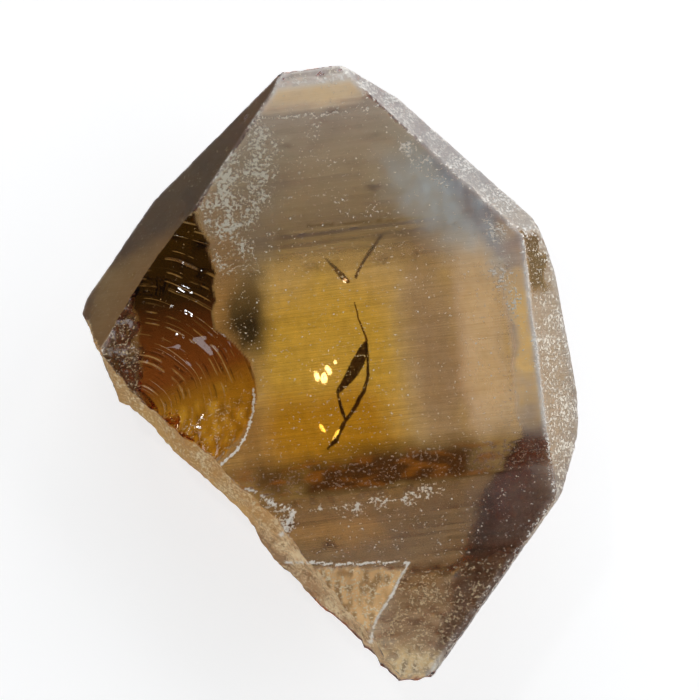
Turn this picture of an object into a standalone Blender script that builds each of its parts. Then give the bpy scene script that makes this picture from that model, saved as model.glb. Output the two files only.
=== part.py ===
"""Smoky citrine crystal point: one grown piece, lying on its broad back prism face.

Frame: metres, +Z up out of the broad front prism face, +Y along the crystal's own
long axis (the quartz c axis) towards the point, origin on the surface that it lies
on, under the middle of the box that the crystal fills.

The flat faces are the growth faces of quartz: prism faces round the c axis and, at
each end, pyramid faces that all lean in by the same angle. The lower left corner and
the foot are broken away, and a shell-shaped flake has gone from the front face.
"""

from math import cos, pi, radians, sin

import bmesh
import bpy
from mathutils import Matrix, Vector, noise

# ---------------------------------------------------------------- driving dimensions
MM = 0.001
THICKNESS = 40 * MM        # between the broad front and back prism faces
BLANK = 190 * MM           # the block that the faces are cut from
PRISM_STEP = 60            # degrees from one prism face to the next, round the c axis
PYRAMID_LEAN = 38.2        # degrees between a pyramid face and the c axis, in quartz
SHOULDER_SWING = 1.6       # degrees that the two front shoulders stand steeper

# Every face passes through one point: (across, along c, height over the c axis).
FRONT = THICKNESS / 2
BACK = -THICKNESS / 2
FRONT_APEX = Vector((4 * MM, 72 * MM, FRONT))
CHISEL_EDGE = Vector((4, 75.2, 17.5)) * MM
RIGHT_RIDGE = Vector((50.2 * MM, 0, FRONT))
RIGHT_SIDE_EDGE = Vector((59.4, -13, 4.1)) * MM
RIGHT_SHOULDER = Vector((31, 51, 20)) * MM
RIGHT_SHOULDER_BACK = Vector((45, 42.4, 9.2)) * MM
LEFT_SHOULDER = Vector((-28.4, 44.5, 20)) * MM
LEFT_SHOULDER_BACK = Vector((-49, 37, -3.4)) * MM
LEFT_SIDE = Vector((-58.4, 24, -4)) * MM
FOOT_RIGHT_EDGE = Vector((37.1, -52, 17.2)) * MM
FOOT_BACK_EDGE = Vector((0, -30 * MM, BACK))

# name, prism face it belongs to, lean in degrees (- at the foot), swing, point on it
FACES = (
    ("front", 0, 0, 0, FRONT_APEX),
    ("right_front_side", 1, 0, 0, RIGHT_RIDGE),
    ("right_back_side", 2, 0, 0, RIGHT_SIDE_EDGE),
    ("back", 3, 0, 0, Vector((0, 0, BACK))),
    ("left_back_side", 4, 0, 0, LEFT_SIDE),
    ("point_front", 0, PYRAMID_LEAN, 0, FRONT_APEX),
    ("point_right_front", 1, PYRAMID_LEAN, -SHOULDER_SWING, RIGHT_SHOULDER),
    ("point_right_back", 2, PYRAMID_LEAN, 0, RIGHT_SHOULDER_BACK),
    ("point_back", 3, PYRAMID_LEAN, 0, CHISEL_EDGE),
    ("point_left_back", 4, PYRAMID_LEAN, 0, LEFT_SHOULDER_BACK),
    ("point_left_front", 5, PYRAMID_LEAN, SHOULDER_SWING, LEFT_SHOULDER),
    ("foot_right_front", 1, -PYRAMID_LEAN, 0, FOOT_RIGHT_EDGE),
    ("foot_right_back", 2, -PYRAMID_LEAN, 0, FOOT_RIGHT_EDGE),
    ("foot_back", 3, -PYRAMID_LEAN, 0, FOOT_BACK_EDGE),
)

# The rubbed-down right side edge, from the top: a point, and degrees from straight out
WORN_EDGE = (
    (Vector((55.5, 25.7, 8)) * MM, 15.4),
    (Vector((58.0, 4.0, 6)) * MM, 3.6),
    (Vector((58.2, -19.0, 4)) * MM, -11.5),
    (Vector((55.7, -29.0, 6)) * MM, -17.0),
)

# Broken surfaces: a middle point, the way the surface faces, then its size, its
# roughness and how far it bulges, or hollows where that is below zero, all in mm
BREAK_CELL = 3.0 * MM
BREAKS = {
    "corner_front": ((-30.4, -31.3, -1), (-0.77, -0.57, 0.28), 140, 1.6, -5.5),
    "corner_back": ((-30.4, -31.3, -1), (-0.78, -0.58, -0.24), 140, 1.6, -5.5),
    "left_side": ((-56.8, 16.0, 0), (-0.96, -0.27, 0.02), 60, 0.9, 0.6),
    "foot_left": ((1.0, -72.5, 12), (-0.66, -0.70, 0.25), 50, 1.3, 0.8),
    "foot_end": ((11.0, -75.8, 14), (0.05, -0.97, 0.22), 50, 1.3, 1.2),
}
BREAK_DEPTH = 90 * MM      # how far a break's cutter reaches out

# The shell-shaped scar: two flakes that ran out from one blow on the left edge
STRIKE = Vector((-48.8, -2.9)) * MM
SCAR_MIDDLE = Vector((-40, 12)) * MM
RIPPLE_PITCH = 5.6 * MM
RIPPLE_HEIGHT = 0.30 * MM
SCAR_CELL = 1.7 * MM
CRUMBLE = 0.35 * MM
# middle, half length, half width, degrees of the long way from across, depth
UPPER_FLAKE = (Vector((-40, 20)) * MM, 30 * MM, 14 * MM, 78, 3.8 * MM)
LOWER_FLAKE = (Vector((-41, -2)) * MM, 23.5 * MM, 18.5 * MM, 20, 8.0 * MM)
FOOT_MIDDLE = Vector((-6, -60)) * MM
# The flake gone from the foot: a point on each straight rim, the way in, and its slope
FOOT_RIMS = (
    (Vector((-1.4, -46.4)) * MM, Vector((-0.13, -0.99)), 0.55),
    (Vector((7.6, -55.5)) * MM, Vector((-0.80, 0.60)), 0.60),
)

# Small bites along the worn upper left edge: distance from the point end, radius
EDGE_TOP = Vector((-3, 75.4, 17)) * MM
EDGE_MIDDLE = Vector((-40.9, 47.2, -3.6)) * MM
BITES = ((9, 6), (17, 4.5), (24, 6.5), (33, 5), (41, 7))
BITE_DEPTH = 0.8 * MM

SMOKY_AMBER = (0.36, 0.22, 0.07, 1.0)
QUARTZ_IOR = 1.544


# ------------------------------------------------------------------------- helpers
def growth_normal(prism_face, lean, swing=0):
    """The outward direction of a growth face, from its place round the c axis."""
    around = radians(prism_face * PRISM_STEP)
    lean = radians(lean)
    normal = Vector((cos(lean) * sin(around), sin(lean), cos(lean) * cos(around)))
    return Matrix.Rotation(radians(swing), 3, "Z") @ normal


def cut_face(bm, point, normal):
    """Cuts off what lies beyond a plane and closes the cut with one flat face."""
    everything = bm.verts[:] + bm.edges[:] + bm.faces[:]
    cut = bmesh.ops.bisect_plane(
        bm, geom=everything, plane_co=point, plane_no=normal, clear_outer=True
    )
    rim = [e for e in cut["geom_cut"] if isinstance(e, bmesh.types.BMEdge)]
    bmesh.ops.edgeloop_fill(bm, edges=rim)


def new_object(name, bm, collection):
    bmesh.ops.recalc_face_normals(bm, faces=bm.faces[:])
    mesh = bpy.data.meshes.new(name)
    bm.to_mesh(mesh)
    bm.free()
    obj = bpy.data.objects.new(name, mesh)
    collection.objects.link(obj)
    return obj


def height_block(size_x, size_y, cell, depth, height):
    """A block whose underside follows height(x, y): the shape that a break removes."""
    bm = bmesh.new()
    bmesh.ops.create_grid(
        bm, x_segments=round(size_x / cell), y_segments=round(size_y / cell), size=0.5
    )
    for v in bm.verts:
        v.co.x *= size_x
        v.co.y *= size_y
        v.co.z = height(v.co.x, v.co.y)
    top = bmesh.ops.extrude_face_region(bm, geom=bm.faces[:], use_keep_orig=True)
    for v in (g for g in top["geom"] if isinstance(g, bmesh.types.BMVert)):
        v.co.z += depth
    return bm


def cutter(name, bm, matrix, collection):
    obj = new_object(name, bm, collection)
    obj.matrix_world = matrix
    obj.hide_render = True
    obj.display_type = "WIRE"
    return obj


def take_away(obj, tool):
    cut = obj.modifiers.new("cut_" + tool.name, "BOOLEAN")
    cut.operation = "DIFFERENCE"
    cut.solver = "EXACT"
    cut.object = tool


def break_cutter(name, collection):
    """A rough, gently bulging fracture that faces the way its row in BREAKS says."""
    middle, facing, size, roughness, bulge = BREAKS[name]
    size, roughness, bulge = size * MM, roughness * MM, bulge * MM
    seed = Vector(middle)

    def height(x, y):
        coarse = noise.noise(Vector((x, y, 0)) / (14 * MM) + seed)
        fine = noise.noise(Vector((x, y, 0)) / (5 * MM) - seed)
        off_middle = (x * x + y * y) / (size * size / 4)
        return roughness * (coarse + 0.45 * fine) + bulge * (0.5 - off_middle)

    bm = height_block(size, size, BREAK_CELL, BREAK_DEPTH, height)
    turn = Vector(facing).to_track_quat("Z", "Y").to_matrix().to_4x4()
    return cutter(name, bm, Matrix.Translation(Vector(middle) * MM) @ turn, collection)


def dish(place, flake):
    """Depth of a shallow oval dish at a place; below zero outside its rim."""
    middle, half_length, half_width, heading, depth = flake
    along = Vector((cos(radians(heading)), sin(radians(heading))))
    across = Vector((along.y, -along.x))
    out = place - middle
    u = out.dot(along) / half_length
    v = out.dot(across) / half_width
    return depth * (1 - u * u - v * v)


def scar_depth(place):
    """The shell scar: the deeper of two dishes, with ripples round the blow."""
    wave = RIPPLE_HEIGHT * cos(2 * pi * (place - STRIKE).length / RIPPLE_PITCH)
    return wave + max(dish(place, UPPER_FLAKE), dish(place, LOWER_FLAKE))


def foot_flake_depth(place):
    """A shallow notch that slopes down and in from two straight rims."""
    return min((place - rim).dot(way_in) * slope for rim, way_in, slope in FOOT_RIMS)


def flake_cutter(name, depth, middle, size, collection):
    """What flakes have taken from the front face, with a slightly crumbled surface."""

    def height(x, y):
        crumble = CRUMBLE * noise.noise(Vector((x, y, 0)) / (4 * MM))
        return crumble - depth(Vector((x, y)) + middle)

    bm = height_block(size, size, SCAR_CELL, BREAK_DEPTH, height)
    place = Matrix.Translation((middle.x, middle.y, FRONT))
    return cutter(name, bm, place, collection)


def bite_cutter(index, along, radius, collection):
    """A ball that bites BITE_DEPTH into the upper left edge."""
    edge = (EDGE_MIDDLE - EDGE_TOP).normalized()
    outward = (growth_normal(5, PYRAMID_LEAN) + growth_normal(3, PYRAMID_LEAN)).normalized()
    middle = EDGE_TOP + edge * along * MM + outward * (radius * MM - BITE_DEPTH)
    bm = bmesh.new()
    bmesh.ops.create_icosphere(bm, subdivisions=2, radius=radius * MM)
    return cutter(f"bite_{index}", bm, Matrix.Translation(middle), collection)


# --------------------------------------------------------------------------- model
for old in list(bpy.data.objects):
    bpy.data.objects.remove(old, do_unlink=True)

scene_root = bpy.context.scene.collection
crystal_parts = bpy.data.collections.new("citrine_crystal_point")
cutters = bpy.data.collections.new("crystal_cutters")
scene_root.children.link(crystal_parts)
scene_root.children.link(cutters)

quartz = bpy.data.materials.new("smoky_citrine")
quartz.use_nodes = True
shader = quartz.node_tree.nodes["Principled BSDF"]
shader.inputs["Base Color"].default_value = SMOKY_AMBER
shader.inputs["Roughness"].default_value = 0.12
shader.inputs["Metallic"].default_value = 0.0
shader.inputs["IOR"].default_value = QUARTZ_IOR
shader.inputs["Transmission Weight"].default_value = 0.9


def crystal_blank():
    """The whole crystal as it grew: a block cut by every growth face in turn."""
    bm = bmesh.new()
    bmesh.ops.create_cube(bm, size=BLANK)
    for _name, prism_face, lean, swing, point in FACES:
        cut_face(bm, point, growth_normal(prism_face, lean, swing))
    for point, turned in WORN_EDGE:
        cut_face(bm, point, Vector((cos(radians(turned)), sin(radians(turned)), 0)))
    return bm


crystal = new_object("crystal", crystal_blank(), crystal_parts)
crystal.data.materials.append(quartz)

tools = [break_cutter(name, cutters) for name in BREAKS]
tools.append(flake_cutter("shell_scar", scar_depth, SCAR_MIDDLE, 84 * MM, cutters))
tools.append(flake_cutter("foot_flake", foot_flake_depth, FOOT_MIDDLE, 60 * MM, cutters))
for number, (along, radius) in enumerate(BITES, 1):
    tools.append(bite_cutter(number, along, radius, cutters))
for tool in tools:
    take_away(crystal, tool)

# The origin goes under the middle of what is left, on the surface that it lies on.
bpy.context.view_layer.update()
cut_crystal = crystal.evaluated_get(bpy.context.evaluated_depsgraph_get())
corners = [Vector(corner) for corner in cut_crystal.bound_box]
middle_x = (min(c.x for c in corners) + max(c.x for c in corners)) / 2
middle_y = (min(c.y for c in corners) + max(c.y for c in corners)) / 2
for piece in [crystal, *tools]:
    piece.location += Vector((-middle_x, -middle_y, -BACK))
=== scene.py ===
# %% [markdown]
# # A smoky citrine crystal point
#
# This lesson dresses one broken quartz crystal: a broad, flat point of smoky citrine that
# lies on its back face. The construction model is already made and stays fixed. It gives
# every growth face at its real size and place, so the looks start from it: we read its
# flat faces, carve a finer crystal to the same planes, and give that one its real skin.

# %% Load the fixed frame
from math import cos, pi, radians, sin

import bpy
import numpy as np
from mathutils import Matrix, Vector, noise


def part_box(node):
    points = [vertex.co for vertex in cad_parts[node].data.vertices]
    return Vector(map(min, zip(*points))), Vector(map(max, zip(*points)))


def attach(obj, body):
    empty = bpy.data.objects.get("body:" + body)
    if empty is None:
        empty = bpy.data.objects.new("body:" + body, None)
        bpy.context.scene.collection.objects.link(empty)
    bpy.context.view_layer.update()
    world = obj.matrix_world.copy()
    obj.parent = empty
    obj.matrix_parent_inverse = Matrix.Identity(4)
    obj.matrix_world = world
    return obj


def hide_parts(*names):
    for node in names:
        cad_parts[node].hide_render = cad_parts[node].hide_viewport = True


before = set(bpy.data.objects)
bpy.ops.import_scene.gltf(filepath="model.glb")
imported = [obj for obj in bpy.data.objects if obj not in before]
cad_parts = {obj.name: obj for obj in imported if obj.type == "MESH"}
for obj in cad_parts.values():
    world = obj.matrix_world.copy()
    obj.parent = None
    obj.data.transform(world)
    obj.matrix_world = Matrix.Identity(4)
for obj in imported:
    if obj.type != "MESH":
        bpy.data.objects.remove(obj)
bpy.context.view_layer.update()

MM = 0.001
lowest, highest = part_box("crystal")
size = [round((b - a) / MM, 1) for a, b in zip(lowest, highest)]
print("the crystal is", size, "mm")

# %% [markdown]
# ## Where we stand to look
#
# The crystal lies down, so the camera hangs straight above it and looks down. A long lens
# from well over two metres keeps the side faces narrow. The stone's long axis leans
# seven degrees from upright in the picture, and we get that by rolling the camera and
# leaving the stone square to its frame.

# %% Hang the camera
VIEW_WIDTH = 171.6 * MM  # what the picture spans, at the height of the aim point
VIEW_HEIGHT = 2400 * MM
AIM = Vector((4.95, 6.31, 20)) * MM
ROLL = -7  # degrees
SENSOR_WIDTH = 36  # mm

camera_data = bpy.data.cameras.new("overhead")
camera_data.sensor_width = SENSOR_WIDTH
camera_data.lens = SENSOR_WIDTH * VIEW_HEIGHT / VIEW_WIDTH
camera = bpy.data.objects.new("overhead", camera_data)
bpy.context.scene.collection.objects.link(camera)
above_aim = Matrix.Translation(AIM + Vector((0, 0, VIEW_HEIGHT)))
camera.matrix_world = above_aim @ Matrix.Rotation(radians(ROLL), 4, "Z")
bpy.context.scene.camera = camera
print("lens", round(camera_data.lens), "mm")

# %% [markdown]
# ## Working in the crystal's own millimetres
#
# Growth marks follow the crystal and not the table, so every pattern below is worked out
# in the crystal's frame: x across, y along its long axis, z out of the broad front face,
# measured from the axis. Blender's metres come back only when vertices are placed.

# %% Places, noise and soft steps
AXIS = np.array([0.0, 0.52, 20.0])  # the long axis in the model's frame, in mm


def to_crystal(metres):
    """Frame metres to crystal millimetres."""
    return np.asarray(metres) / MM - AXIS


def to_frame(millimetres):
    """Crystal millimetres to frame metres."""
    return (np.asarray(millimetres) + AXIS) * MM


def lumps(places, sizes, seed):
    """Smooth noise from -1 to 1: one size of lump in mm, or one for each axis."""
    scaled = np.asarray(places) / np.asarray(sizes) + seed
    return np.array([noise.noise(Vector(p)) for p in scaled])


def soft_step(low, high, value):
    """0 below low, 1 above high and a smooth ramp between."""
    t = np.clip((value - low) / (high - low), 0, 1)
    return t * t * (3 - 2 * t)


print("the axis lies", AXIS[2], "mm over the floor")


# %% Read vertices and start with nothing selected
def read_vertices(mesh, what="co"):
    """One row of x, y and z for each vertex of a mesh."""
    values = np.empty(len(mesh.vertices) * 3)
    mesh.vertices.foreach_get(what, values)
    return values.reshape(-1, 3)


def deselect_all():
    for obj in bpy.context.selected_objects:
        obj.select_set(False)


deselect_all()
print(len(bpy.context.selected_objects), "objects selected")

# %% [markdown]
# ## The growth faces
#
# Quartz ends in flat faces because it grows layer by layer on a few lattice planes. The
# model's mesh is many triangles, but all the triangles of one growth face share a plane.
# Taking the largest free triangle, gathering all that lie in its plane, and going on until
# only the small facets of the breaks are left gives each face's direction and distance.

# %% Read the growth faces from the model
LEAST_TRIANGLE = 10.0  # mm2: the broken surfaces have only smaller facets


class GrowthFace:
    """A flat face: its outward normal and its distance from the crystal's origin, in mm."""

    def __init__(self, normal, distance):
        self.normal = normal / np.linalg.norm(normal)
        self.distance = distance
        y = self.normal[1]
        self.kind = "point" if y > 0.4 else "foot" if y < -0.4 else "prism"

    def inside(self, places):
        """How far each place lies inside this face's plane."""
        return self.distance - places @ self.normal


def read_growth_faces(node):
    triangles = node.data.polygons
    normals = np.array([p.normal[:] for p in triangles])
    areas = np.array([p.area for p in triangles]) / MM**2
    centres = to_crystal([p.center[:] for p in triangles])
    offsets = (normals * centres).sum(1)
    free = areas > 0
    found = []
    while areas[free].max(initial=0) > LEAST_TRIANGLE:
        first = np.where(free, areas, 0).argmax()
        same = free & (np.abs(normals - normals[first]).max(1) < 2e-3)
        same &= np.abs(offsets - offsets[first]) < 0.05
        found.append(GrowthFace(normals[first], float(offsets[first])))
        free &= ~same
    return found


growth_faces = read_growth_faces(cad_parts["crystal"])
front_face = next(f for f in growth_faces if f.normal[2] > 0.99)
print(len(growth_faces), "growth faces:", [f.kind for f in growth_faces].count("prism"), "prism")

# %% [markdown]
# ## The blank
#
# A gem cutter would saw a block a little oversize and grind each face down to its plane.
# We do the same: a cube primitive is bisected by every growth plane moved one millimetre
# out. That millimetre is what the skin relief is carved from.

# %% Saw the oversize blank
GRINDING = 1.0  # mm left outside each growth plane
START_BLOCK = 190 * MM


def saw_blank():
    bpy.ops.mesh.primitive_cube_add(size=START_BLOCK, location=AXIS * MM)
    blank = bpy.context.object
    blank.name = "crystal_skin"
    bpy.ops.object.transform_apply(location=True)
    bpy.ops.object.mode_set(mode="EDIT")
    for face in growth_faces:
        bpy.ops.mesh.select_all(action="SELECT")
        bpy.ops.mesh.bisect(
            plane_co=to_frame(face.normal * (face.distance + GRINDING)), plane_no=face.normal,
            use_fill=True, clear_outer=True,
        )
    bpy.ops.object.mode_set(mode="OBJECT")
    return blank


crystal = saw_blank()
print("blank with", len(crystal.data.polygons), "faces")

# %% [markdown]
# ## Edges: rubbed and chipped
#
# Quartz is hard and brittle, so a handled crystal keeps its planes and loses its edges, in
# small shell-shaped bites. Two growth planes meet in a line, and the other planes say where
# that line ends. Each bite is a ball set so that it only just reaches past the edge.

# %% Find the edges
SHORTEST_EDGE = 3.0  # mm
NEARLY_PARALLEL = 0.15  # sine of the angle between two planes


def edge_between(one, other):
    """The stretch that two growth faces share, or None."""
    run = np.cross(one.normal, other.normal)
    if np.linalg.norm(run) < NEARLY_PARALLEL:
        return None
    run /= np.linalg.norm(run)
    planes = np.array([one.normal, other.normal, run])
    start = np.linalg.solve(planes, [one.distance, other.distance, 0])
    low, high = -1e3, 1e3
    for face in growth_faces:
        if face in (one, other):
            continue
        room, closing = face.distance - face.normal @ start, face.normal @ run
        if closing > 1e-6:
            high = min(high, room / closing)
        elif closing < -1e-6:
            low = max(low, room / closing)
        elif room < 0:
            return None
    return (start + run * low, start + run * high) if high - low > SHORTEST_EDGE else None


edges = []  # the two faces, and the two ends of the edge that they share
for i, one in enumerate(growth_faces):
    for other in growth_faces[i + 1:]:
        ends = edge_between(one, other)
        if ends is not None:
            edges.append((one, other, *ends))
print(len(edges), "edges")

# %% Set the bites
rng = np.random.default_rng(11)
CHIP_SPACING = (2.0, 6.5)  # mm along an edge
CHIP_RADIUS = (0.8, 2.9)  # mm
CHIP_BITE = (0.10, 0.42)  # mm past the edge
FULL_BITE_RADIUS = 1.5  # mm: smaller balls bite less
chips = []  # middle and radius of each ball
for one, other, start, end in edges:
    outward = one.normal + other.normal
    outward /= np.linalg.norm(outward)
    length = np.linalg.norm(end - start)
    along = rng.uniform(*CHIP_SPACING)
    while along < length:
        radius = rng.uniform(*CHIP_RADIUS)
        bite = rng.uniform(*CHIP_BITE) * min(1, radius / FULL_BITE_RADIUS)
        on_edge = start + (end - start) * along / length
        chips.append((on_edge + outward * (radius - bite), radius))
        along += rng.uniform(*CHIP_SPACING)
print(len(chips), "chips along the edges")

# %% [markdown]
# ## How deep the skin lies
#
# Each growth face gets a map of depths below its ideal plane, in millimetres. Growth leaves
# low hills everywhere, and on the prism faces fine level lines straight across the long
# axis: every line is the rim of a growth layer that stopped there. Edges get their wear, and
# a few etch pits dot the faces.

# %% Worn and chipped edges
EDGE_WEAR = 0.22  # mm
WEAR_REACH = 0.55  # mm from the edge


def worn_depth(places, own_face):
    """The rounding of the edges: deeper the nearer a neighbouring plane comes."""
    depth = np.zeros(len(places))
    strength = EDGE_WEAR * (1 + 0.8 * lumps(places, 3.0, 5.0))
    for face in growth_faces:
        if face is not own_face and face.normal @ own_face.normal < 0.99:
            near = np.clip(1 - face.inside(places) / WEAR_REACH, 0, 1.5)
            depth = np.maximum(depth, strength * near**2)
    return depth


def chip_depth(places, own_face):
    """How far below the plane the bites reach."""
    depth = np.zeros(len(places))
    for middle, radius in chips:
        if abs(own_face.inside(middle[None])[0]) > radius:
            continue
        out = places - middle
        rise = out @ own_face.normal
        square = radius**2 - (out**2).sum(1)
        hit = square > 0
        depth[hit] = np.maximum(depth[hit], rise[hit] + np.sqrt(square[hit] + rise[hit]**2))
    return depth


print("an edge is worn up to", round(1.8 * EDGE_WEAR, 2), "mm down")

# %% Hills, growth lines and etch pits
HILLS, FINE_HILLS = 0.07, 0.04  # mm
STRIAE = 0.07  # mm
PIT_STEEPNESS = 0.35  # depth of an etch pit over its radius
PLAIN_PITS = (26, 0.6, 1.4, 17)  # how many, least and largest radius in mm, seed


def striae_depth(places):
    """Level growth lines across the long axis, in patches."""
    level = lumps(places, (70, 1.5, 70), 2.0) + 0.5 * lumps(places, (45, 0.8, 45), 3.0)
    patches = soft_step(-0.25, 0.35, lumps(places, (22, 9, 22), 8.0))
    return STRIAE * (0.35 + patches) * np.abs(level)


def pit_depth(places, count, least, largest, seed):
    """Small round etch pits, scattered by their own seeded draw."""
    draw = np.random.default_rng(seed)
    depth = np.zeros(len(places))
    for pick in draw.integers(0, len(places), count):
        radius = draw.uniform(least, largest)
        gone = np.linalg.norm(places - places[pick], axis=1) / radius
        depth = np.maximum(depth, PIT_STEEPNESS * radius * np.clip(1 - gone**2, 0, 1))
    return depth


def plain_face_depth(places, face):
    """A growth face away from the front: hills, lines, wear and pits."""
    depth = HILLS * (1 + lumps(places, 9.0, 1.0))
    depth += FINE_HILLS * (1 + lumps(places, 2.6, 4.0))
    if face.kind == "prism":
        depth += striae_depth(places)
    depth += pit_depth(places, *PLAIN_PITS)
    return np.maximum(depth + worn_depth(places, face), chip_depth(places, face))


print("hills lie up to", round(2 * (HILLS + FINE_HILLS), 2), "mm deep, growth lines", STRIAE)

# %% [markdown]
# ## The shell-shaped scar
#
# A blow on the left edge took two flakes off the front face. Quartz has no cleavage, so it
# breaks like thick glass: the crack runs out from the blow in curved waves and leaves a
# dished scar with ripples round the point of impact. Two oval dishes and rings of ripples
# give that shape, and the thin outer part of the scar is crushed and crinkled.

# %% The dishes and the crushed border
# middle, half length, half width, degrees of the long way from across, depth
UPPER_FLAKE = (np.array([-40.0, 20.0]), 30.0, 14.0, 78, 3.8)
LOWER_FLAKE = (np.array([-41.0, -2.0]), 23.5, 18.5, 20, 8.0)
CRUSHED_BORDER = [(-46.5, 23), (-46, 17), (-46.2, 12), (-46.5, 7), (-48, 2), (-45, -5), (-43, -10)]


def dish(places, flake):
    """Depth of a shallow oval dish; below zero outside its rim."""
    middle, half_length, half_width, heading, depth = flake
    along = np.array([cos(radians(heading)), sin(radians(heading))])
    across = np.array([along[1], -along[0]])
    out = places[:, :2] - middle
    return depth * (1 - (out @ along / half_length) ** 2 - (out @ across / half_width) ** 2)


def crushed(places):
    """1 in the crinkled left border of the scar, 0 in its glossy middle."""
    border_x = np.interp(places[:, 1], [y for _, y in CRUSHED_BORDER[::-1]],
                         [x for x, _ in CRUSHED_BORDER[::-1]])
    wander = 1.2 * lumps(places, 3.0, 6.0)
    return soft_step(-1.2, 1.0, border_x - places[:, 0] + wander)


print("the dishes are", UPPER_FLAKE[-1], "and", LOWER_FLAKE[-1], "mm deep in the middle")

# %% Depth of the scar
STRIKE = np.array([-48.8, -2.9])
RIPPLE_PITCH, RIPPLE_HEIGHT = 5.6, 0.16  # mm
FINE_PITCH, FINE_HEIGHT = 1.75, 0.07
SWELL, CRINKLE, FINE_CRINKLE = 0.35, 0.45, 0.25  # mm
LOW_RIDGES, LOW_CRUMBS = 0.22, 0.16  # mm, on the thin end below the blow


def scar_depth(places):
    flat = places * [1, 1, 0]
    from_blow = np.linalg.norm(places[:, :2] - STRIKE, axis=1)
    wander = 0.5 * lumps(flat, 7.0, 9.0)
    ring = np.abs(np.sin(pi * (from_blow + wander) / RIPPLE_PITCH))
    wave = RIPPLE_HEIGHT * (1.2 - 2.4 * ring**0.7)
    patch = soft_step(-0.3, 0.3, lumps(flat, 6.0, 2.5))
    fine_ring = np.abs(np.sin(pi * (from_blow + 0.6 * wander) / FINE_PITCH))
    wave += FINE_HEIGHT * patch * (1 - 2 * fine_ring**0.6)
    depth = wave + np.maximum(dish(places, UPPER_FLAKE), dish(places, LOWER_FLAKE))
    depth += SWELL * lumps(flat, 4.0, 0.0)
    crinkles = CRINKLE * lumps(flat, 1.7, 3.3) + FINE_CRINKLE * lumps(flat, 0.9, 7.7)
    depth += crushed(places) * crinkles
    rough = LOW_RIDGES * lumps(flat, (1.1, 3.2, 1), 4.4) + LOW_CRUMBS * lumps(flat, 1.3, 5.1)
    return depth + soft_step(-2, -14, places[:, 1]) * rough


print("ripples every", RIPPLE_PITCH, "and", FINE_PITCH, "mm out from", STRIKE)

# %% [markdown]
# ## The flake gone from the foot
#
# A second, smaller flake left the foot with two straight rims and a hackly floor: fine
# ridges that run away from the rim like hair. One more small chip sits over it, where the
# broken corner begins.

# %% Depth at the foot
FOOT_RIMS = (  # a point on the rim, the way in, and how steeply the floor goes down
    ((-1.4, -46.4), (-0.13, -0.99), 0.30),
    ((7.6, -55.5), (-0.80, 0.60), 0.34),
)
CHIP_RIMS = (
    ((-12.6, -32.2), (-0.86, 0.50), 0.32),
    ((-18.0, -28.6), (-0.62, -0.79), 0.32),
)
HACKLES = 0.22  # mm
CHIP_GRIT = 0.12  # mm


def wedge_depth(places, rims):
    """Depth of a flake with straight rims; below zero outside them."""
    return np.min([(places[:, :2] - rim) @ np.array(way_in) * slope
                   for rim, way_in, slope in rims], axis=0)


def foot_flake_depth(places):
    flat = places * [1, 1, 0]
    depth = wedge_depth(places, FOOT_RIMS)
    hackles = HACKLES * (lumps(flat, (1.0, 3.6, 1), 2.2) + lumps(flat, 2.4, 6.1))
    return depth + np.where(depth > 0, hackles, 0)


def small_chip_depth(places):
    depth = wedge_depth(places, CHIP_RIMS)
    return depth + np.where(depth > 0, CHIP_GRIT * lumps(places * [1, 1, 0], 1.5, 3.0), 0)


print("flake and chip, each with", len(FOOT_RIMS), "straight rims")

# %% [markdown]
# ## The front face
#
# The broad front face is the one people look at. Its growth ended in terraces: a thin lip
# near the top, deep lines where the glassy window starts, and one long step near the foot,
# below which the face lies a fifth of a millimetre lower. At its lower right the surface is
# crumbly, and a few grooves run level to the right edge.

# %% Lip, step, grooves and rough ground
TOP_LIP_Y, TOP_LIP_DROP = 66.0, 0.10
STEP_Y, STEP_DROP = -27.6, 0.22
BAND_FOOT, BAND_TOP = (-28.5, -26.5), (-17.5, -23.0)  # y where the etched band fades
GROOVES = (  # level grooves: y, from x, to x, depth, width
    (35.4, -6, 30, 0.16, 0.55),
    (33.2, -10, 27, 0.13, 0.7),
    (31.0, -24, 12, 0.08, 0.6),
    (-20.8, 6, 46, 0.12, 0.5),
    (-35.5, 20, 46, 0.12, 0.45),
    (-39.5, 16, 44, 0.14, 0.45),
    (-41.2, 8, 30, 0.08, 0.5),
    (-45.8, 14, 38, 0.10, 0.5),
)


def crumbly_foot(places):
    """1 on the rough ground at the foot, 0 above it."""
    edge = -48.5 + 0.10 * np.clip(places[:, 0] - 8, 0, 40) + 2.0 * lumps(places, 5.0, 1.1)
    return soft_step(0.5, -3.5, places[:, 1] - edge)


def band_mask(places):
    """1 in the rusty, etched band just above the long step."""
    y = places[:, 1] + 1.6 * lumps(places, (9, 3, 9), 5.5)
    return soft_step(*BAND_FOOT, y) * soft_step(*BAND_TOP, y)


print(len(GROOVES), "level grooves and one step of", STEP_DROP, "mm")

# %% Depth of the front face
GRIT = 0.02  # mm
CRUMB_HILLS, CRUMB_GRIT = 0.30, 0.22  # mm
BAND_ETCHING = 0.10  # mm
FRONT_PITS = (60, 0.25, 0.5, 3)  # many, but small


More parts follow.
